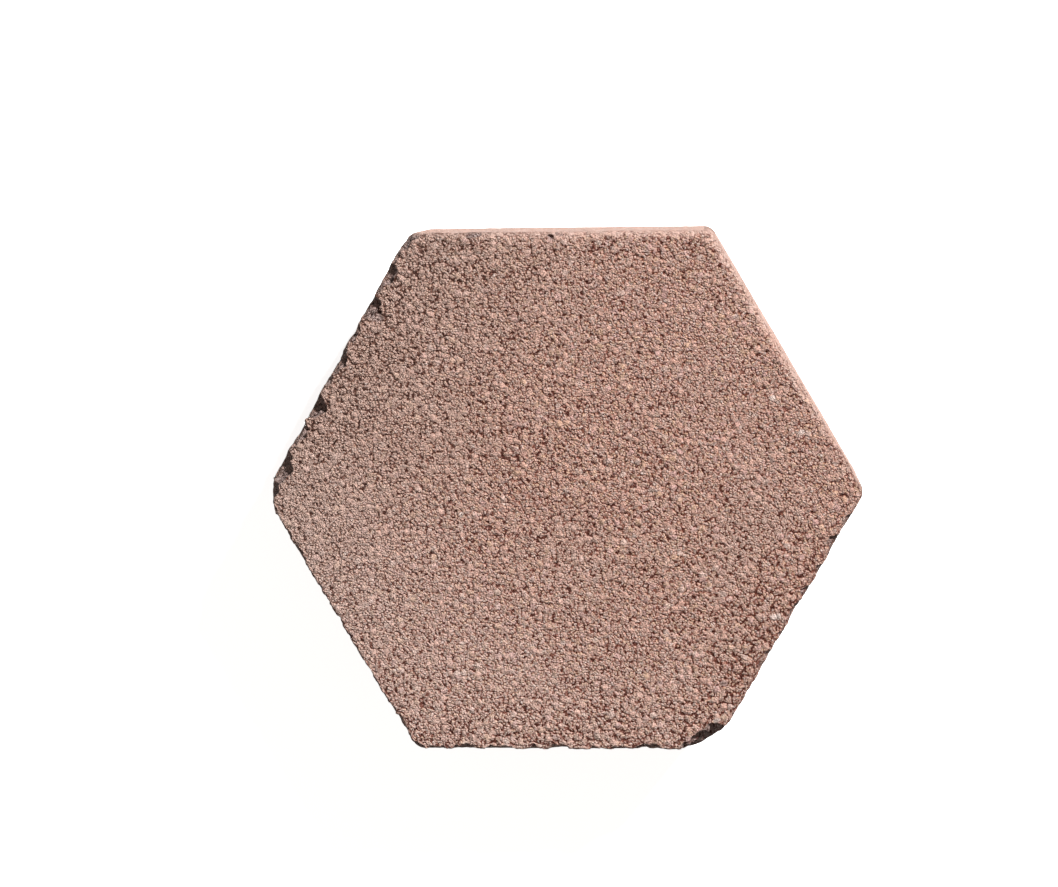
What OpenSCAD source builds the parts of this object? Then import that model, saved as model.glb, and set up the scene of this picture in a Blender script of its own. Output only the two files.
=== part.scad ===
// Hexagonal concrete paving stone, dry-cast as one block and then worn.
// The wearing face is up and the bed is down, at Z = 0. Two of the corners lie on the X axis.
// Corners and sides are counted anticlockwise, seen from above: corner 0 is on +X, and side 0 runs
// from corner 0 to corner 1.

/* [Stone] */
// Width between two opposite sides
across_flats = 200; // [150:1:320]
// Height from the bed to the wearing face
thickness = 60; // [40:1:120]

/* [Wear] */
// Width worn off the face, and off the side, along the arris of the wearing face
arris_w = 1.2; // [0.8:0.1:2.4]
// The same along the arris of the bed
bed_arris_w = 1; // [0.4:0.1:2]
// How far the most worn corner has drawn back from a sharp one
corner_wear = 3.5; // [2:0.1:6]

/* [Damage] */
// Length that the lengths of all chips and pits are shares of
chip_length = 16; // [12:0.5:24]
// Depth that the depths of all chips and pits are shares of
chip_depth = 4; // [3:0.1:6]

/* [Hidden] */
$fn = 64;

sides = 6;
turn = 360 / sides;
apothem = across_flats / 2;
half_side = apothem * tan(turn / 2);
corner_reach = apothem / cos(turn / 2);
overrun = thickness / 10;

// Wear leaves blunt arcs, which meet the faces beside them at a slight angle. An arris's arc has its
// centre this many arris widths in from both faces, and a corner's arc meets the sides at this angle.
arris_centre_share = 1.5;
corner_blunt_angle = 15;

// Wear of each corner, in that of the most worn one.
corner_wear_shares = [0.24, 0.26, 0.26, 0.74, 0.26, 1.00];

// Chips along each side: place from the side's middle in half sides, then length and depth. The broken
// face of a chip leans back from upright by this angle.
side_chip_shares = [
    [],
    [[0.56, 0.46, 0.46]],
    [[-0.69, 0.60, 1.05], [-0.46, 0.62, 1.10], [-0.22, 0.40, 0.50], [0.10, 0.42, 0.55], [0.32, 0.72, 1.25],
        [0.52, 0.50, 0.80], [0.78, 0.86, 1.30]],
    [[-0.81, 0.40, 0.30], [-0.56, 0.55, 0.40], [-0.17, 0.45, 0.30], [0.68, 0.50, 0.35]],
    [[-0.69, 0.54, 0.50], [-0.40, 0.70, 0.35], [0.55, 0.80, 0.50]],
    [[-0.36, 0.44, 0.40], [0.08, 0.54, 0.60], [0.60, 0.56, 0.70], [0.78, 0.40, 0.40]],
];
side_chip_leans = [35, 35, 28, 14, 14, 18];

// Chips at the corners: length and depth, then the angle that each leans back, and the angle that it
// swings from the corner's own direction towards the next side. A whole corner has none.
corner_chip_shares = [[], [], [2.00, 0.55], [0.90, 0.70], [0.56, 0.50], [1.70, 1.60]];
corner_chip_leans = [0, 0, 8, 25, 30, 22];
corner_chip_swings = [0, 0, 17, -20, 0, 0];

// Pits in the wearing face: place along X and Y in half widths, then length and depth.
face_pit_shares = [[-0.700, 0.681, 0.34, 0.50], [0.186, 0.963, 0.18, 0.25], [-0.033, 0.972, 0.20, 0.28]];
pit_lean = 90;

// How far a corner has drawn back from a sharp one.
function wear_at(corner) = corner_wear * corner_wear_shares[corner];

module paving_stone() {
    color([0.62, 0.47, 0.42]) difference() {
        worn_block();
        for (side = [0 : sides - 1], shares = side_chip_shares[side]) side_chip(side, shares);
        for (corner = [0 : sides - 1]) corner_chip(corner, corner_chip_shares[corner]);
        for (shares = face_pit_shares) face_pit(shares);
    }
}

// The block with all its corners worn, and no chips.
module worn_block() {
    difference() {
        block();
        for (corner = [0 : sides - 1]) worn_corner(corner);
    }
}

// The block with sharp upright corners: where three bars cross, each as wide as the stone.
module block() {
    intersection_for (side = [0 : sides / 2 - 1])
        rotate(turn * (side + 1 / 2)) translate([0, corner_reach, 0])
            rotate([90, 0, 0]) linear_extrude(2 * corner_reach) union() {
                half_section(apothem);
                mirror([1, 0]) half_section(apothem);
            }
}

// Section of the stone from its middle out to an upright side.
module half_section(width) {
    difference() {
        square([width, thickness]);
        translate([width, 0]) worn_arrises();
    }
}

// What wear takes off both edges of an upright side that stands on the origin.
module worn_arrises() {
    translate([0, thickness]) worn_arris(arris_w);
    mirror([0, 1]) worn_arris(bed_arris_w);
}

// What wear takes off a square edge that lies at the origin, with the stone towards -X and -Y.
module worn_arris(width) {
    centre = width * arris_centre_share;
    translate([-centre, -centre]) difference() {
        square(centre + overrun);
        circle(norm([centre - width, centre]));
    }
}

// What wear takes off a corner: all that stands outside a drum, and both arrises round that drum.
// The corner lies towards -X of the drum, clear of the seam on its +X side.
module worn_corner(corner) {
    wear = wear_at(corner);
    drum_r = wear / (cos(corner_blunt_angle) / cos(turn / 2) - 1);
    drum_show = drum_r * cos((turn - corner_blunt_angle) / 2);
    rotate(turn * corner + 180) translate([drum_r + wear - corner_reach, 0, 0]) {
        translate([0, 0, -overrun]) difference() {
            translate([-drum_show - drum_r, -drum_r, 0]) cube([drum_r, 2 * drum_r, thickness + 2 * overrun]);
            translate([0, 0, -overrun]) cylinder(h = thickness + 4 * overrun, r = drum_r);
        }
        rotate(180 - turn / 2) rotate_extrude(angle = turn) translate([drum_r, 0]) worn_arrises();
    }
}

// A shell-shaped chip: a ball that meets the arris over the chip's length and goes in by its depth.
// The arris lies along Y, with the stone towards -X and -Z.
module chip(length, depth, lean) {
    ball_r = (pow(length / 2, 2) + pow(depth, 2)) / (2 * depth);
    ball_out = ball_r - depth;
    translate([ball_out * cos(lean), 0, ball_out * sin(lean)]) sphere(ball_r);
}

module side_chip(side, shares) {
    rotate(turn * (side + 1 / 2)) translate([apothem, half_side * shares[0], thickness])
        chip(chip_length * shares[1], chip_depth * shares[2], side_chip_leans[side]);
}

module corner_chip(corner, shares) {
    if (len(shares) > 0)
        rotate(turn * corner) translate([corner_reach - wear_at(corner), 0, thickness])
            rotate(corner_chip_swings[corner])
                chip(chip_length * shares[0], chip_depth * shares[1], corner_chip_leans[corner]);
}

// Where a lump of grit has come out of the wearing face.
module face_pit(shares) {
    translate([apothem * shares[0], apothem * shares[1], thickness])
        chip(chip_length * shares[2], chip_depth * shares[3], pit_lean);
}

paving_stone();
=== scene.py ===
import math

import bpy
import numpy as np
from mathutils import Matrix, Vector, noise


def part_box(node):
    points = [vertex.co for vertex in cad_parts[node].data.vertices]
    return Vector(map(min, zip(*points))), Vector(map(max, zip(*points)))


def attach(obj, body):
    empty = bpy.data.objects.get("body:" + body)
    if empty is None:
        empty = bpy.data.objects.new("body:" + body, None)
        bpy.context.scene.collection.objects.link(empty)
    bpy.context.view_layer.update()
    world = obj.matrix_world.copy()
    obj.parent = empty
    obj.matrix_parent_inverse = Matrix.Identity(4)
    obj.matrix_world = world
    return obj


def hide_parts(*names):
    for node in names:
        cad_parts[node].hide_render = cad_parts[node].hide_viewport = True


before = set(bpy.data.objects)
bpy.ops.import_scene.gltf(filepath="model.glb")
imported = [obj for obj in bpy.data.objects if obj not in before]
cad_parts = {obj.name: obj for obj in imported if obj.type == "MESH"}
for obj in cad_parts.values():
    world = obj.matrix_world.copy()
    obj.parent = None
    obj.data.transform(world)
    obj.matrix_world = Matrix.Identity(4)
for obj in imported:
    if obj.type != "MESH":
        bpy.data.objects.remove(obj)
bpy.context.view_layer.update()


# The paving stone: a hexagonal block of pigmented concrete, pressed almost dry in a mould as one piece.
# Its wearing face is open-grained sand and grit, its sides keep the mould's smoother skin with drag marks
# from stripping, and years of use have rounded its arrises and corners and knocked chips off them.
NODE = "paving_stone"
box_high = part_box(NODE)[1]
thickness = box_high.z
apothem = box_high.y
SIDES = 6
TURN = math.tau / SIDES
corner_reach = apothem / math.cos(TURN / 2)

# Wear, counted anticlockwise from the corner on +X and from the side after it.
ARRIS_W = 0.0012
BED_ARRIS_W = 0.001
ARRIS_CENTRE_SHARE = 1.5
CORNER_WEAR = 0.0035
CORNER_WEAR_SHARES = [0.24, 0.26, 0.26, 0.74, 0.26, 1.00]
CORNER_BLUNT_ANGLE = math.radians(15)

# The mesh is a ring of points round the outline, carried in to the middle of the face, down the sides and
# in to the middle of the bed. The sides have half as many columns as the face's rim, and the bed a quarter.
FACE_RINGS = 156
RIM = SIDES * FACE_RINGS
ARRIS_ROWS = 5
SIDE_ROWS = 24
BED_ARRIS_ROWS = 2


def outline(count, inset):
    """Points round the worn outline, drawn in by inset, with the outward direction at each."""
    along = np.arange(count) * SIDES / count
    side = np.floor(along).astype(int)
    normal = np.stack([np.cos((side + 0.5) * TURN), np.sin((side + 0.5) * TURN)], axis=1)
    tangent = np.stack([-normal[:, 1], normal[:, 0]], axis=1)
    half_side = apothem * math.tan(TURN / 2)
    shift = (2 * (along - side) - 1) * half_side * (apothem - inset) / apothem
    points = normal * (apothem - inset) + tangent * shift[:, None]
    outward = normal.copy()
    for corner, share in enumerate(CORNER_WEAR_SHARES):
        wear = CORNER_WEAR * share
        drum_r = wear / (math.cos(CORNER_BLUNT_ANGLE) / math.cos(TURN / 2) - 1)
        axis = np.array([math.cos(corner * TURN), math.sin(corner * TURN)])
        arm = points - axis * (corner_reach - wear - drum_r)
        reach = np.linalg.norm(arm, axis=1)
        worn = (reach > drum_r - inset) & (arm @ axis > reach * math.cos(TURN / 2))
        outward[worn] = arm[worn] / reach[worn, None]
        points[worn] += outward[worn] * (drum_r - inset - reach[worn])[:, None]
    return points, outward


def arris_row(width, share):
    """Inset, depth and tilt of the arris's blunt arc, from the flat at share 0 to the side at share 1."""
    centre = width * ARRIS_CENTRE_SHARE
    start = math.atan2(centre - width, centre)
    tilt = start + share * (math.pi / 2 - 2 * start)
    radius = math.hypot(centre - width, centre)
    return centre - radius * math.sin(tilt), centre - radius * math.cos(tilt), tilt


# Spread is where a point would lie if the sides were folded out flat, so that grain runs on over the arris.
points, normals, spread, faces = [], [], [], []


def add_row(row, outward, height, tilt):
    """Adds a closed row of points at one height, with normals leaning out by tilt. Returns their numbers."""
    first = len(points)
    for (x, y), (nx, ny) in zip(row, outward):
        points.append((x, y, height))
        normals.append((nx * math.sin(tilt), ny * math.sin(tilt), math.cos(tilt)))
        fall = thickness - height if tilt <= math.pi / 2 else 0
        spread.append((x + nx * fall, y + ny * fall, 0))
    return list(range(first, len(points)))


def join_rows(upper, lower):
    """Joins two closed rows. The lower one has as many points as the upper, or half as many."""
    step = len(upper) // len(lower)
    for j in range(len(lower)):
        here, there = lower[j], lower[(j + 1) % len(lower)]
        near, far = upper[j * step], upper[(j + 1) * step % len(upper)]
        if step == 1:
            faces.append((near, here, there))
            faces.append((near, there, far))
        else:
            middle = upper[j * step + 1]
            faces.extend([(near, here, middle), (middle, here, there), (middle, there, far)])


def fill_flat(rim, rings, height, up):
    """Fills a flat inside its rim with shrinking rings of even triangles."""
    edge = np.array([points[i][:2] for i in rim])
    outer = rim
    for ring in range(rings - 1, -1, -1):
        if ring:
            at = np.arange(SIDES * ring) * len(rim) / (SIDES * ring)
            low = np.floor(at).astype(int)
            part = (at - low)[:, None]
            row = edge[low] * (1 - part) + edge[(low + 1) % len(rim)] * part
            inner = add_row(row * ring / rings, np.zeros_like(row), height, 0 if up else math.pi)
        else:
            inner = add_row([(0, 0)], [(0, 0)], height, 0 if up else math.pi)
        for side in range(SIDES):
            for j in range(ring + 1):
                a = outer[side * (ring + 1) + j]
                b = outer[(side * (ring + 1) + j + 1) % len(outer)]
                c = inner[(side * ring + j) % len(inner)]
                faces.append((a, b, c) if up else (b, a, c))
                if j < ring:
                    d = inner[(side * ring + j + 1) % len(inner)]
                    faces.append((c, b, d) if up else (b, c, d))
        outer = inner


row = None
for step in range(ARRIS_ROWS + 1):
    inset, depth, tilt = arris_row(ARRIS_W, step / ARRIS_ROWS)
    last, row = row, add_row(*outline(RIM, inset), thickness - depth, tilt)
    if last:
        join_rows(last, row)
    else:
        face_rim = row
for step in range(1, SIDE_ROWS + 1):
    height = thickness - ARRIS_W - (thickness - ARRIS_W - BED_ARRIS_W) * step / SIDE_ROWS
    last, row = row, add_row(*outline(RIM // 2, 0), height, math.pi / 2)
    join_rows(last, row)
for step in range(1, BED_ARRIS_ROWS + 1):
    inset, depth, tilt = arris_row(BED_ARRIS_W, 1 - step / BED_ARRIS_ROWS)
    count = RIM // 4 if step == BED_ARRIS_ROWS else RIM // 2
    last, row = row, add_row(*outline(count, inset), depth, math.pi - tilt)
    join_rows(last, row)
fill_flat(face_rim, FACE_RINGS, thickness, True)
fill_flat(row, FACE_RINGS // 4, 0, False)
points = np.array(points)
normals = np.array(normals)
spread = np.array(spread)

# How open the surface is: all sand and grit on the face, mostly closed skin on the sides and the bed. The
# sides are a little more open towards the face, and in patches. The height of a point's normal tells whether
# it lies on an upright side or on the flat of the face.
UPRIGHT_Z = 0.1
FLAT_Z = 0.9
ARRIS_OPEN = 0.9
SIDE_OPEN = 0.22
SIDE_TOP_OPEN = 0.3
SIDE_TOP_REACH = 0.008
BED_OPEN = 0.5
PATCH_OPEN = 0.32
PATCH_SIZE = 0.016
PATCH_LAYERS = [(1, 1), (2.6, 0.5)]
PATCH_GAIN = 2.5
PATCH_START = 0.2


def layered_noise(place, layers):
    """Noise at a place, summed over layers, each of them so many times finer and of its own weight."""
    return sum(weight * noise.noise(place * finer) for finer, weight in layers)


from_top = thickness - points[:, 2]
side_top = np.clip(1 - from_top / SIDE_TOP_REACH, 0, 1)
side_open = SIDE_OPEN + (SIDE_TOP_OPEN - SIDE_OPEN) * side_top
openness = np.where(normals[:, 2] > UPRIGHT_Z, ARRIS_OPEN, side_open)
for i in np.flatnonzero(np.abs(normals[:, 2]) < UPRIGHT_Z):
    patch = layered_noise(Vector(points[i]) / PATCH_SIZE, PATCH_LAYERS)
    openness[i] = max(openness[i], PATCH_OPEN * min(1, max(0, patch * PATCH_GAIN - PATCH_START)))
openness[normals[:, 2] > FLAT_Z] = 1

# Along the two crisp sides, a margin of the face is closed by paste that the mould has pressed up.
MARGIN_SHARES = [1.0, 1.0, 0.2, 0.0, 0.0, 0.3]
MARGIN_W = 0.0030
MARGIN_REACH = 2 * MARGIN_W
MARGIN_FADE = 1.5
MARGIN_OPEN = 0.4
MARGIN_UNEVEN = 0.8
MARGIN_WAVE = 0.004
angle = np.arctan2(points[:, 1], points[:, 0]) / TURN


def by_side(shares):
    """Each point's share, eased from that at the middle of one side to that of the next."""
    return np.interp(angle, np.arange(SIDES) + 0.5, shares, period=SIDES)


margin_share = by_side(MARGIN_SHARES)
from_edge = apothem - np.max([
    points[:, 0] * math.cos((side + 0.5) * TURN) + points[:, 1] * math.sin((side + 0.5) * TURN)
    for side in range(SIDES)
], axis=0)
for i in np.flatnonzero((normals[:, 2] > UPRIGHT_Z) & (from_edge < MARGIN_REACH)):
    width = MARGIN_W * (1 + MARGIN_UNEVEN * noise.noise(Vector(points[i]) / MARGIN_WAVE))
    closed = (1 - MARGIN_OPEN) * margin_share[i] * np.clip(MARGIN_FADE - from_edge[i] / width, 0, 1)
    openness[i] *= 1 - closed
openness[normals[:, 2] < -UPRIGHT_Z] = 0
openness[normals[:, 2] == -1] = BED_OPEN

# Chips along each side: place from the side's middle in half sides, then length and depth in shares of
# these. The broken face of a chip leans back from upright by the side's own angle, in degrees.
CHIP_LENGTH = 0.016
CHIP_DEPTH = 0.004
SIDE_CHIP_SHARES = [
    [],
    [[0.56, 0.46, 0.46]],
    [[-0.69, 0.60, 1.05], [-0.46, 0.62, 1.10], [-0.22, 0.40, 0.50], [0.10, 0.42, 0.55], [0.32, 0.72, 1.25],
        [0.52, 0.50, 0.80], [0.78, 0.86, 1.30]],
    [[-0.81, 0.40, 0.30], [-0.56, 0.55, 0.40], [-0.17, 0.45, 0.30], [0.68, 0.50, 0.35]],
    [[-0.69, 0.54, 0.50], [-0.40, 0.70, 0.35], [0.55, 0.80, 0.50]],
    [[-0.36, 0.44, 0.40], [0.08, 0.54, 0.60], [0.60, 0.56, 0.70], [0.78, 0.40, 0.40]],
]
CHIP_LEANS = [35, 35, 28, 14, 14, 18]
# Chips at the corners: length and depth, then lean, and swing from the corner's own direction.
CORNER_CHIP_SHARES = [[], [], [2.00, 0.55], [0.90, 0.70], [0.56, 0.50], [1.70, 1.60]]
CORNER_CHIP_LEANS = [0, 0, 8, 25, 30, 22]
CORNER_CHIP_SWINGS = [0, 0, 17, -20, 0, 0]
# Pits in the face: place across and up in apothems, then length and depth.
FACE_PIT_SHARES = [[-0.700, 0.681, 0.34, 0.50], [0.186, 0.963, 0.18, 0.25], [-0.033, 0.972, 0.20, 0.28]]
BREAK_GRAIN = 0.0035
BREAK_ROUGH = 0.45
BREAK_LUMP = 0.0008
BREAK_LUMP_FINER = 2.3
broken = np.zeros(len(points))


def level(turns):
    """The level direction that lies so many sixths of a turn round from +X."""
    return np.array([math.cos(turns * TURN), math.sin(turns * TURN), 0])


def knock_chip(place, outward, length, depth, lean):
    """Pushes the points inside a ball, which meets the arris at place, straight in to its far side."""
    ball_r = (length ** 2 / 4 + depth ** 2) / (2 * depth)
    out = outward * math.cos(lean) + np.array([0, 0, math.sin(lean)])
    centre = place + out * (ball_r - depth)
    for i in np.flatnonzero(np.linalg.norm(points - centre, axis=1) < ball_r + depth):
        arm = points[i] - centre
        along = arm @ out
        across = arm - out * along
        lump = Vector(place + across) / BREAK_GRAIN
        rough = depth * BREAK_ROUGH * noise.noise(lump) + BREAK_LUMP * noise.noise(lump * BREAK_LUMP_FINER)
        cap = (ball_r + rough) ** 2 - across @ across
        if cap > 0 and along + math.sqrt(cap) > 0:
            push = along + math.sqrt(cap)
            points[i] -= out * push
            broken[i] = max(broken[i], min(1, push / ARRIS_W))


def knock_side_chip(side, place, length, depth):
    """Knocks a chip off the arris of a side, at a place in half sides from its middle."""
    outward = level(side + 0.5)
    tangent = np.array([-outward[1], outward[0], 0])
    arris = outward * apothem + tangent * place * apothem * math.tan(TURN / 2)
    knock_chip(arris + [0, 0, thickness], outward, length, depth, math.radians(CHIP_LEANS[side]))


for side, chips in enumerate(SIDE_CHIP_SHARES):
    for place, length, depth in chips:
        knock_side_chip(side, place, length * CHIP_LENGTH, depth * CHIP_DEPTH)
for corner, shares in enumerate(CORNER_CHIP_SHARES):
    if shares:
        length, depth = shares
        arris = level(corner) * (corner_reach - CORNER_WEAR * CORNER_WEAR_SHARES[corner])
        outward = level(corner + CORNER_CHIP_SWINGS[corner] / math.degrees(TURN))
        knock_chip(arris + [0, 0, thickness], outward, length * CHIP_LENGTH, depth * CHIP_DEPTH,
                   math.radians(CORNER_CHIP_LEANS[corner]))
for x, y, length, depth in FACE_PIT_SHARES:
    knock_chip(np.array([x * apothem, y * apothem, thickness]), np.zeros(3), length * CHIP_LENGTH,
               depth * CHIP_DEPTH, math.pi / 2)

# Crumbs, where single grains have come out of the arris: few on the two sides that are still crisp.
CRUMB_COUNTS = [0, 3, 30, 12, 18, 14]
CRUMB_LENGTHS = (0.0025, 0.0060)
CRUMB_SHARES = [1, 1, 1.3, 0.9, 1.1, 1]
CRUMB_DEPTHS = (0.25, 0.42)
CRUMB_PLACES = (-0.97, 0.97)
CRUMB_SEED = 11
chance = np.random.default_rng(CRUMB_SEED)
for side, count in enumerate(CRUMB_COUNTS):
    for place in chance.uniform(*CRUMB_PLACES, count):
        length = chance.uniform(*CRUMB_LENGTHS) * CRUMB_SHARES[side]
        knock_side_chip(side, place, length, length * chance.uniform(*CRUMB_DEPTHS))
openness = np.maximum(openness, broken)

# The arris is ragged where grains have come out of it: least on two sides, most on those across from them.
RAGGED_SHARES = [0.08, 0.12, 0.90, 0.90, 1.00, 0.55]
RAGGED_DEPTH = 0.0026
RAGGED_LENGTH = 0.009
RAGGED_REACH = 0.022
RAGGED_LAYERS = [(1, 1), (2.7, 0.5), (5.9, 0.35)]
ragged_share = by_side(RAGGED_SHARES)
near_arris = np.clip(1 - np.hypot(from_edge, from_top) / RAGGED_REACH, 0, 1) ** 2
for i in np.flatnonzero(near_arris):
    outward = level(angle[i])
    place = Vector(outward * apothem + [0, 0, from_top[i]]) / RAGGED_LENGTH
    loss = max(0, layered_noise(place, RAGGED_LAYERS))
    points[i] -= outward * loss * RAGGED_DEPTH * ragged_share[i] * near_arris[i]

# How loose the grains sit: most along some of the edges, least in two quarters of the face.
LOOSE_SHARES = [0.1, 0.5, 0.9, 0.2, 1.5, 1.1]
LOOSE_REACH = 0.028
LOOSE_MIDDLE = 0.5
LOOSE_WIDTH = 0.09
loose = by_side(LOOSE_SHARES) * np.clip(1 - from_edge / LOOSE_REACH, 0, 1)
loose += LOOSE_MIDDLE * np.clip(1 - ((points[:, 0] + points[:, 1]) / LOOSE_WIDTH) ** 2, 0, 1)

# The blank that the relief is cut into, with what the relief and the finish need to know at each point.
blank = bpy.data.meshes.new("stone_blank")
blank.from_pydata(points.tolist(), [], faces)
for name, values in (("open", openness), ("broken", broken), ("loose", loose)):
    blank.attributes.new(name, "FLOAT", "POINT").data.foreach_set("value", values)
for name, values in (("rest", points), ("spread", spread), ("facing", normals)):
    blank.attributes.new(name, "FLOAT_VECTOR", "POINT").data.foreach_set("vector", values.ravel())
stone_blank = bpy.data.objects.new("stone_blank", blank)
bpy.context.scene.collection.objects.link(stone_blank)


class Field:
    """A socket of a node tree, of a shader or of Geometry Nodes. Sums on it add Math nodes to that tree."""

    def __init__(self, tree, socket):
        self.tree = tree
        self.socket = socket

    def add(self, kind, settings, sockets, output=0):
        """Adds a node, makes its settings, then sets or links its sockets, and returns one of its outputs."""
        node = self.tree.nodes.new(kind)
        for name, value in settings.items():
            setattr(node, name, value)
        for name, value in sockets.items():
            if isinstance(value, Field):
                self.tree.links.new(value.socket, node.inputs[name])
            else:
                node.inputs[name].default_value = value
        return Field(self.tree, node.outputs[output])

    def sum(self, operation, *values):
        return self.add("ShaderNodeMath", {"operation": operation}, dict(enumerate(values)))

    def __add__(self, other):
        return self.sum("ADD", self, other)

    def __radd__(self, other):
        return self.sum("ADD", other, self)

    def __sub__(self, other):
        return self.sum("SUBTRACT", self, other)

    def __rsub__(self, other):
        return self.sum("SUBTRACT", other, self)

    def __mul__(self, other):
        return self.sum("MULTIPLY", self, other)

    def __rmul__(self, other):
        return self.sum("MULTIPLY", other, self)

    def __truediv__(self, other):
        return self.sum("DIVIDE", self, other)

    def __rtruediv__(self, other):
        return self.sum("DIVIDE", other, self)

    def above(self, other):
        return self.sum("MAXIMUM", self, other)

    def rise(self, start, end):
        """Eases from 0 at start to 1 at end, or the other way round where end is below start."""
        low, high = (start, end) if start < end else (end, start)
        eased = self.add("ShaderNodeMapRange", {"interpolation_type": "SMOOTHSTEP"},
                         {"Value": self, "From Min": low, "From Max": high})
        return eased if start < end else 1 - eased

    def vector_sum(self, operation, sockets, output=0):
        return self.add("ShaderNodeVectorMath", {"operation": operation}, sockets, output)

    def stretch(self, x, y, z):
        """A place with its axes stretched."""
        return self.vector_sum("MULTIPLY", {0: self, 1: (x, y, z)})

    def moved(self, offset, amount):
        """A place moved by an offset, times an amount."""
        scaled = self.vector_sum("SCALE", {0: offset, "Scale": amount})
        return self.vector_sum("ADD", {0: self, 1: scaled})

    def axis(self, index):
        return self.add("ShaderNodeSeparateXYZ", {}, {0: self}, index)

    def out(self, name):
        """Another output of the node that this field comes from."""
        return Field(self.tree, self.socket.node.outputs[name])

    def cells(self, scale):
        """Distance to the middle of the nearest of many cells on a flat. The node's colour is that cell's."""
        return self.add("ShaderNodeTexVoronoi", {"voronoi_dimensions": "2D"},
                        {"Vector": self, "Scale": scale})

    def lean(self, cells, size):
        """How high a place stands on its cell's own flat, which leans its own way."""
        arm = self.vector_sum("SUBTRACT", {0: self, 1: cells.out("Position")})
        way = self.vector_sum("SUBTRACT", {0: cells.out("Color"), 1: (0.5, 0.5, 0.5)})
        return self.vector_sum("DOT_PRODUCT", {0: arm, 1: way}, "Value") / size

    def blend(self, first, second):
        """The first of two colours where this field is 0, the second where it is 1."""
        return self.add("ShaderNodeMix", {"data_type": "RGBA"}, {0: self, 6: first, 7: second}, 2)

    def cloud(self, scale, detail=1.0, output="Fac"):
        return self.add("ShaderNodeTexNoise", {}, {"Vector": self, "Scale": scale, "Detail": detail}, output)


# Sand, the dust between it and the grit: sizes, then heights in shares of the relief that is given to them.
# Each stands on a rounded cell of its own. Some grains are lost, most of them in the cracks between clods.
GRAIN_SIZE = 0.00092
GRIT_SIZE = 0.0027
WARP_FINER = 0.7
WARP_SHARE = 1.2
CLOD_FINER = 0.7
CLOD_ROUND = 0.4
CRACK = (0.16, 0.04)
CRACK_LOSS = 0.42
LOOSE_LOSS = 0.05
LOST = (0.965, 0.985)
SAND_TOP = 0.7
SAND_CHANCE = 0.4
SAND_ROUND = 0.6
SAND_DROP = 3.4
SAND_LOST = 0.7
DUST_FINER = 2.0
DUST_TOP = 0.15
DUST_CHANCE = 0.4
DUST_ROUND = 0.7
DUST_LOST = 0.4
GRIT_TOP = 0.2
GRIT_FOUND = (0.6, 0.9)
GRIT_STAND = 0.9
GRIT_ROUND = 0.6
GRIT_DROP = 9
GRIT_EDGE = 0.02


def concrete_grains(place, loose_share, grain_size, grit_size):
    """Sand and grit on a flat: how high they stand, each grain's own tint, and how high their clods stand."""
    warp = place.cloud(WARP_FINER / grain_size, 2.0, "Color")
    place = place.moved(warp, grain_size * WARP_SHARE).stretch(1, 1, 0)
    sand = place.cells(1 / grain_size)
    sand_tint = sand.out("Color")
    clods = place.add("ShaderNodeTexVoronoi", {"voronoi_dimensions": "2D", "feature": "DISTANCE_TO_EDGE"},
                      {"Vector": place, "Scale": CLOD_FINER / grit_size})
    lost = (sand_tint.axis(1) + loose_share * (clods.rise(*CRACK) * CRACK_LOSS + LOOSE_LOSS)).rise(*LOST)
    sand_fall = sand * sand
    sand_height = sand_tint.axis(0) * SAND_CHANCE + SAND_TOP - sand_fall * SAND_ROUND
    sand_height = sand_height - sand_fall * sand_fall * SAND_DROP - lost * SAND_LOST
    dust = place.cells(DUST_FINER / grain_size)
    dust_height = dust.out("Color").axis(0) * DUST_CHANCE + DUST_TOP
    dust_height = dust_height - dust * dust * DUST_ROUND - lost * DUST_LOST
    grit = place.cells(1 / grit_size)
    grit_tint = grit.out("Color")
    grit_fall = grit * grit
    grit_height = grit_tint.axis(0).rise(*GRIT_FOUND) * GRIT_STAND + GRIT_TOP - grit_fall * GRIT_ROUND
    grit_height = grit_height - grit_fall * grit_fall * GRIT_DROP
    sand_height = sand_height.above(dust_height)
    tint = (grit_height - sand_height).rise(0, GRIT_EDGE).blend(sand_tint, grit_tint)
    return sand_height.above(grit_height), tint, clods.rise(0, CLOD_ROUND)


# The grains' relief: each point of the blank sinks by as much as the sand and the pits are deep there.
# What the triangles are too coarse for is left to the finish.
relief_tree = bpy.data.node_groups.new("concrete_relief", "GeometryNodeTree")
interface = relief_tree.interface
interface.new_socket("Geometry", in_out="OUTPUT", socket_type="NodeSocketGeometry")
interface.new_socket("Geometry", in_out="INPUT", socket_type="NodeSocketGeometry")
relief_sizes = {
    "Grain size": GRAIN_SIZE,
    "Grit size": GRIT_SIZE,
    "Grain relief": 0.0003,
    "Lump relief": 0.0002,
    "Sway": 0.0004,
    "Sway length": 0.022,
}
relief_ids = {
    name: interface.new_socket(name, in_out="INPUT", socket_type="NodeSocketFloat").identifier
    for name in relief_sizes
}
concrete_id = interface.new_socket("Concrete", in_out="INPUT", socket_type="NodeSocketMaterial").identifier
given_node = relief_tree.nodes.new("NodeGroupInput")
given = {socket.name: Field(relief_tree, socket) for socket in given_node.outputs if socket.name}
named = "GeometryNodeInputNamedAttribute"
start = given["Geometry"]
rest = start.add(named, {"data_type": "FLOAT_VECTOR"}, {"Name": "rest"})
spread = start.add(named, {"data_type": "FLOAT_VECTOR"}, {"Name": "spread"})
facing = start.add(named, {"data_type": "FLOAT_VECTOR"}, {"Name": "facing"})
open_share = start.add(named, {"data_type": "FLOAT"}, {"Name": "open"})
broken_share = start.add(named, {"data_type": "FLOAT"}, {"Name": "broken"})
loose_share = start.add(named, {"data_type": "FLOAT"}, {"Name": "loose"})
grains, _, lumps = concrete_grains(spread, loose_share, given["Grain size"], given["Grit size"])
sway = rest.cloud(1 / given["Sway length"], 2.0)
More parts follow.
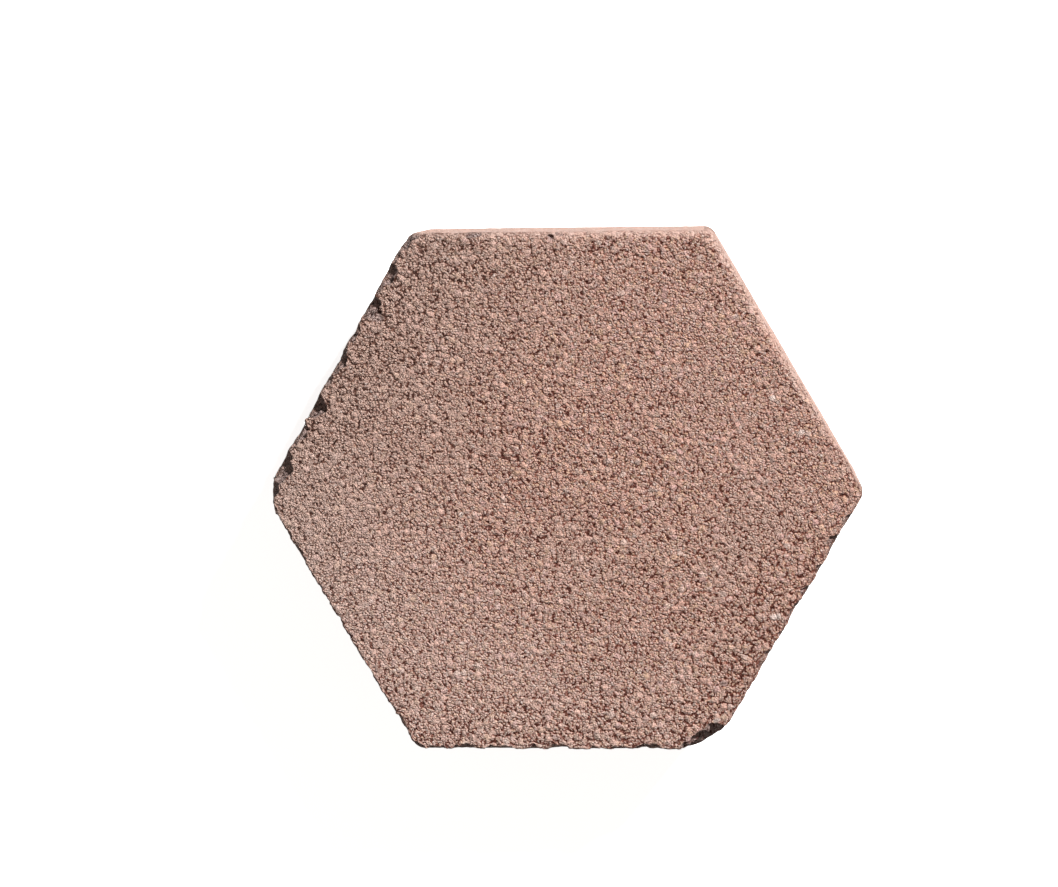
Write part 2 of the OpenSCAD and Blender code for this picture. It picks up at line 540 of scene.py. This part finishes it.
grain_depth = (SAND_TOP + SAND_CHANCE - grains) * given["Grain relief"] + (1 - lumps) * given["Lump relief"]
sink = grain_depth * open_share * (1 - broken_share) + sway * given["Sway"]
inward = start.vector_sum("SCALE", {0: facing, "Scale": sink * -1})
sunk = start.add("GeometryNodeSetPosition", {}, {"Geometry": start, "Offset": inward})
smooth = start.add("GeometryNodeSetShadeSmooth", {}, {"Geometry": sunk})
whole = start.add("GeometryNodeRealizeInstances", {}, {"Geometry": smooth})
dressed = start.add("GeometryNodeSetMaterial", {}, {"Geometry": whole, "Material": given["Concrete"]})
end = relief_tree.nodes.new("NodeGroupOutput")
relief_tree.links.new(dressed.socket, end.inputs[0])

# The concrete's finish: every grain has its own tint of the red-brown, paste and dark dust lie between the
# grains with painted shade there, the paste redder as painted bounce light, and the skin on the sides is
# paler, with upright streaks and open pores darkened with painted shade.
concrete = bpy.data.materials.new("red_concrete")
concrete.use_nodes = True
tree = concrete.node_tree
principled = tree.nodes["Principled BSDF"]
start = Field(tree, principled.outputs[0])
rest = start.add("ShaderNodeAttribute", {"attribute_name": "rest"}, {}, "Vector")
spread = start.add("ShaderNodeAttribute", {"attribute_name": "spread"}, {}, "Vector")
open_share = start.add("ShaderNodeAttribute", {"attribute_name": "open"}, {}, "Fac")
broken_share = start.add("ShaderNodeAttribute", {"attribute_name": "broken"}, {}, "Fac")
loose_share = start.add("ShaderNodeAttribute", {"attribute_name": "loose"}, {}, "Fac")
grains, tint, lumps = concrete_grains(spread, loose_share, GRAIN_SIZE, GRIT_SIZE)


def linear(red, green, blue):
    """A colour as the eye reads it, from 0 to 255, as the light that it stands for."""
    return tuple((c / 255 / 12.92 if c <= 10 else ((c / 255 + 0.055) / 1.055) ** 2.4)
                 for c in (red, green, blue)) + (1.0,)


RED_SAND = linear(204, 160, 144)
GREY_SAND = linear(198, 162, 148)
RUST_SAND = linear(208, 158, 141)
OCHRE_SAND = linear(203, 163, 134)
MAUVE_SAND = linear(200, 156, 150)
FLINT_SAND = linear(214, 190, 180)
BROWN_SAND = linear(180, 128, 110)
WASHED_SAND = linear(190, 158, 145)
PALE_SAND = linear(228, 204, 194)
# The paste colours are paste with painted shade: darker and redder, standing for light bounced between red
# grains in their shade.
PASTE_AND_RED_SHADE = linear(190, 99, 65)
WASHED_PASTE_AND_RED_SHADE = linear(168, 106, 80)
# The dust colours are dust and painted shade, in the gaps, the pores and the fine hollows; the pit colour is
# painted deep shade.
DUST_AND_SHADE = linear(86, 25, 10)
WASHED_DUST_AND_SHADE = linear(66, 30, 18)
PIT_SHADE = linear(40, 15, 9)
SKIN = linear(200, 172, 161)
# The broken faces' colour: their duller grain, with a bluish grey that is painted skylit shade.
BREAK_WITH_SKY_SHADE = linear(158, 138, 136)
# Tints that grains have by chance: which of a grain's three chances, from where to where in it the tint
# comes in, and how much of it there is.
GRAIN_TINTS = [
    (2, 0.30, 0.80, 1.0, GREY_SAND),
    (0, 0.75, 1.00, 1.0, RUST_SAND),
    (1, 0.25, 0.05, 0.7, OCHRE_SAND),
    (1, 0.72, 0.90, 0.7, MAUVE_SAND),
    (2, 0.85, 0.97, 0.5, FLINT_SAND),
    (0, 0.20, 0.05, 0.5, BROWN_SAND),
]
colour = RED_SAND
for axis, first, full, share, sand in GRAIN_TINTS:
    colour = (tint.axis(axis).rise(first, full) * share).blend(colour, sand)

# Broad changes of tint: greyer drifts, a quarter of the face that rain has washed, and one that feet have
# rubbed paler. A few single grains are almost white.
DRIFT_SIZE = 0.05
DRIFT_FOUND = (0.5, 0.75)
DRIFT_SHARE = 0.6
WASHED_WAY = (-0.9, 0.45)
WASHED_REACH = 0.11
WASHED_SHARE = 0.7
RUBBED_WAY = (-0.5, -0.9)
RUBBED_REACH = 0.1
RUBBED_SHARE = 0.22
WHITE_FOUND = (0.996, 0.997)
WHITE_SHARE = 0.7


def quarter(way, reach):
    """Rises from the middle of the face to 1 at a reach from there, one way across the face."""
    return (rest.axis(0) * way[0] + rest.axis(1) * way[1]).rise(0, reach)


drift = spread.cloud(1 / DRIFT_SIZE, 2.0)
colour = (drift.rise(*DRIFT_FOUND) * DRIFT_SHARE).blend(colour, GREY_SAND)
washed = quarter(WASHED_WAY, WASHED_REACH)
colour = (washed * WASHED_SHARE).blend(colour, WASHED_SAND)
colour = (quarter(RUBBED_WAY, RUBBED_REACH) * RUBBED_SHARE).blend(colour, PALE_SAND)
colour = (tint.axis(2).rise(*WHITE_FOUND) * WHITE_SHARE).blend(colour, PALE_SAND)

# Paste on the low parts of the grains, darker and redder there as painted shade with reddish bounce light,
# the duller grain of broken faces, with a bluish grey that is painted skylit shade, and fine specks over all:
# dust and painted shade in the hollows of the fine relief, pale sand and painted highlight on its tops.
PASTE_SHADE_HEIGHTS = (0.65, 0.2)
PASTE_SHADE_SHARE = 0.5
BREAK_SKY_SHADE_SHARE = 0.6
FINE_SIZE = 0.00035
FINE_HOLLOW_SHADE = (0.5, 0.2)
FINE_HOLLOW_SHADE_SHARE = 0.4
FINE_TOP_HIGHLIGHT = (0.5, 0.8)
FINE_TOP_HIGHLIGHT_SHARE = 0.5
paste_and_red_shade = washed.blend(PASTE_AND_RED_SHADE, WASHED_PASTE_AND_RED_SHADE)
colour = (grains.rise(*PASTE_SHADE_HEIGHTS) * PASTE_SHADE_SHARE).blend(colour, paste_and_red_shade)
colour = (broken_share * BREAK_SKY_SHADE_SHARE).blend(colour, BREAK_WITH_SKY_SHADE)
ground = spread.moved(spread.cloud(1 / GRAIN_SIZE, 1.0, "Color"), GRAIN_SIZE)
fine = ground.cloud(1 / FINE_SIZE, 1.0)
# Fine specks follow the fine relief: dust and painted shade in its hollows, pale sand and painted highlight
# on its tops.
colour = (fine.rise(*FINE_HOLLOW_SHADE) * FINE_HOLLOW_SHADE_SHARE).blend(colour, DUST_AND_SHADE)
colour = (fine.rise(*FINE_TOP_HIGHLIGHT) * FINE_TOP_HIGHLIGHT_SHARE).blend(colour, PALE_SAND)

# The mould's skin: drawn into streaks as the mould was lifted off, specked darker in the hollows of its fine
# relief as painted shade, and with pores of its own, darkened with dust and painted shade.
STREAK_SIZE = 0.0025
STREAK_SQUEEZE = 0.06
STREAK_FOUND = (0.35, 0.65)
STREAK_SHARE = 0.4
SKIN_DRIFT_FOUND = (0.3, 0.7)
SKIN_DRIFT_SHARE = 0.4
SKIN_SPECK_SHADE_SHARE = 0.6
PORE_SIZE = 0.0034
PORE_FOUND = (0.6, 1.0)
PORE_WIDTH = 0.34
PORE_EDGE = 0.2
PORE_SHADE_SHARE = 0.55
BARE = (0.1, 0.9)
streaks = rest.stretch(1, 1, STREAK_SQUEEZE).cloud(1 / STREAK_SIZE, 3.0)
redder = streaks.rise(*STREAK_FOUND) * STREAK_SHARE + drift.rise(*SKIN_DRIFT_FOUND) * SKIN_DRIFT_SHARE
skin = redder.blend(SKIN, RED_SAND)
skin = (fine.rise(*FINE_HOLLOW_SHADE) * SKIN_SPECK_SHADE_SHARE).blend(skin, BROWN_SAND)
uneven = ground.moved(ground.cloud(1 / PORE_SIZE, 2.0, "Color"), PORE_SIZE).stretch(1, 1, 0)
pore_cells = uneven.cells(1 / PORE_SIZE)
pore_widths = pore_cells.out("Color").axis(0).rise(*PORE_FOUND) * PORE_WIDTH
pores = (pore_widths - pore_cells).rise(0, PORE_EDGE) * (1 - open_share)
skin = (pores * PORE_SHADE_SHARE).blend(skin, WASHED_DUST_AND_SHADE)
bare = open_share.rise(*BARE)
colour = bare.blend(skin, colour)

# Dust and painted shade in the gaps between grains, and painted deep shade in the deepest. The whole is matt,
# with next to no gloss.
GAP_SHADE_HEIGHTS = (0.45, 0.1)
GAP_SHADE_SHARE = 0.82
PIT_SHADE_HEIGHTS = (0.22, 0.0)
PIT_SHADE_SHARE = 0.45
ROUGHNESS = 0.92
GLOSS = 0.12
gap_dust_and_shade = washed.blend(DUST_AND_SHADE, WASHED_DUST_AND_SHADE)
colour = (grains.rise(*GAP_SHADE_HEIGHTS) * GAP_SHADE_SHARE * open_share).blend(colour, gap_dust_and_shade)
colour = (grains.rise(*PIT_SHADE_HEIGHTS) * PIT_SHADE_SHARE * open_share).blend(colour, PIT_SHADE)
tree.links.new(colour.socket, principled.inputs["Base Color"])
principled.inputs["Roughness"].default_value = ROUGHNESS
principled.inputs["Specular IOR Level"].default_value = GLOSS

# Bump for what the triangles are too coarse for: on open grain, and fainter on skin.
FACET_SIZE = 0.0005
FACET_CHANCE = 0.3
FACET_FALL = 0.3
GRAIN_BUMP = 0.0021
LUMP_BUMP = 0.0009
FINE_BUMP = 0.0017
FACET_BUMP = 0.0013
SKIN_FINE_BUMP = 0.0003
SKIN_FACET_BUMP = 0.0002
STREAK_BUMP = 0.0002
PORE_BUMP = 0.0008
ground = ground.stretch(1, 1, 0)
facet = ground.cells(1 / FACET_SIZE)
facets = facet.out("Color").axis(1) * FACET_CHANCE + ground.lean(facet, FACET_SIZE) - facet * FACET_FALL
open_height = grains * GRAIN_BUMP + lumps * LUMP_BUMP + fine * FINE_BUMP + facets * FACET_BUMP
skin_height = fine * SKIN_FINE_BUMP + facets * SKIN_FACET_BUMP + streaks * STREAK_BUMP - pores * PORE_BUMP
height = open_height * bare + skin_height * (1 - bare)
bump = start.add("ShaderNodeBump", {}, {"Strength": 1.0, "Distance": 1.0, "Height": height})
tree.links.new(bump.socket, principled.inputs["Normal"])

# The relief is cut once, and the dressed mesh is the one piece that stands for the solid in the picture.
relief = stone_blank.modifiers.new("relief", "NODES")
relief.node_group = relief_tree
for name, identifier in relief_ids.items():
    relief[identifier] = relief_sizes[name]
relief[concrete_id] = concrete
depsgraph = bpy.context.evaluated_depsgraph_get()
stone_mesh = bpy.data.meshes.new_from_object(stone_blank.evaluated_get(depsgraph))
stone_blank.modifiers.remove(relief)
bpy.data.objects.remove(stone_blank)
stone_mesh.name = "stone"
stone = bpy.data.objects.new("stone", stone_mesh)
bpy.context.scene.collection.objects.link(stone)
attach(stone, "root")
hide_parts(NODE)


# The floor that the stone lies on: a plain pale sheet, wider than any view of it. It glows a little, so that
# the stone's shadow on it stays faint, and it throws no light back on the stone.
FLOOR_HALF = 6.0
FLOOR_COLOUR = (0.9, 0.9, 0.9, 1)
FLOOR_GLOW = 0.78
floor_mesh = bpy.data.meshes.new("floor")
floor_mesh.from_pydata([(-FLOOR_HALF, -FLOOR_HALF, 0), (FLOOR_HALF, -FLOOR_HALF, 0),
                        (FLOOR_HALF, FLOOR_HALF, 0), (-FLOOR_HALF, FLOOR_HALF, 0)], [], [(0, 1, 2, 3)])
floor = bpy.data.objects.new("floor", floor_mesh)
floor.visible_diffuse = False
bpy.context.scene.collection.objects.link(floor)
floor_paint = bpy.data.materials.new("floor_paint")
floor_paint.use_nodes = True
floor_shader = floor_paint.node_tree.nodes["Principled BSDF"]
floor_shader.inputs["Base Color"].default_value = FLOOR_COLOUR
floor_shader.inputs["Roughness"].default_value = 1.0
floor_shader.inputs["Emission Color"].default_value = (1, 1, 1, 1)
floor_shader.inputs["Emission Strength"].default_value = FLOOR_GLOW
floor_mesh.materials.append(floor_paint)


# The light: one key lamp from beyond the far right corner, low enough to bring up the grain, a soft warm
# lamp above the near left, and an even light from all round.
KEY_BEARING = math.radians(53)
KEY_HEIGHT = math.radians(38)
KEY_DISTANCE = 6.0
KEY_SIZE = 0.45
KEY_POWER = 982
KEY_COLOUR = (0.915, 0.955, 0.965)
FILL_FROM = (-0.3, -0.45, 1.5)
FILL_SIZE = 1.6
FILL_POWER = 5
FILL_COLOUR = (1.0, 0.8, 0.69)
ROOM_COLOUR = (0.9, 0.91, 0.9, 1)
ROOM_STRENGTH = 0.15
key_from = Vector((math.cos(KEY_BEARING) * math.cos(KEY_HEIGHT), math.sin(KEY_BEARING) * math.cos(KEY_HEIGHT),
                   math.sin(KEY_HEIGHT)))
key_light = bpy.data.lights.new("key", "AREA")
key_light.shape = "DISK"
key_light.size = KEY_SIZE
key_light.energy = KEY_POWER
key_light.color = KEY_COLOUR
key = bpy.data.objects.new("key", key_light)
key.location = key_from * KEY_DISTANCE + Vector((0, 0, thickness))
key.rotation_euler = key_from.to_track_quat("Z", "Y").to_euler()
bpy.context.scene.collection.objects.link(key)
fill_light = bpy.data.lights.new("fill", "AREA")
fill_light.shape = "DISK"
fill_light.size = FILL_SIZE
fill_light.energy = FILL_POWER
fill_light.color = FILL_COLOUR
fill = bpy.data.objects.new("fill", fill_light)
fill.location = FILL_FROM
bpy.context.scene.collection.objects.link(fill)
world = bpy.data.worlds.new("room")
world.use_nodes = True
background = world.node_tree.nodes["Background"]
background.inputs["Color"].default_value = ROOM_COLOUR
background.inputs["Strength"].default_value = ROOM_STRENGTH
bpy.context.scene.world = world
bpy.context.scene.view_settings.view_transform = "Standard"


# The camera looks down on the wearing face from about a metre up, a little beyond the far right corner, with
# a long lens and the slight roll of a camera held in the hand.
CAMERA_FROM = Vector((0.0559, 0.1272, 1.06))
CAMERA_AT = Vector((-0.0123, 0.0193, 0.06))
CAMERA_ROLL = math.radians(-0.75)
CAMERA_LENS = 90.0
CAMERA_SENSOR = 36
camera_data = bpy.data.cameras.new("camera")
camera_data.sensor_fit = "HORIZONTAL"
camera_data.sensor_width = CAMERA_SENSOR
camera_data.lens = CAMERA_LENS
camera = bpy.data.objects.new("camera", camera_data)
camera_back = (CAMERA_FROM - CAMERA_AT).normalized()
camera_right = Vector((0, 1, 0)).cross(camera_back).normalized()
camera_up = camera_back.cross(camera_right)
turned = Matrix((camera_right, camera_up, camera_back)).transposed() @ Matrix.Rotation(CAMERA_ROLL, 3, "Z")
camera.matrix_world = Matrix.Translation(CAMERA_FROM) @ turned.to_4x4()
bpy.context.scene.collection.objects.link(camera)
bpy.context.scene.camera = camera
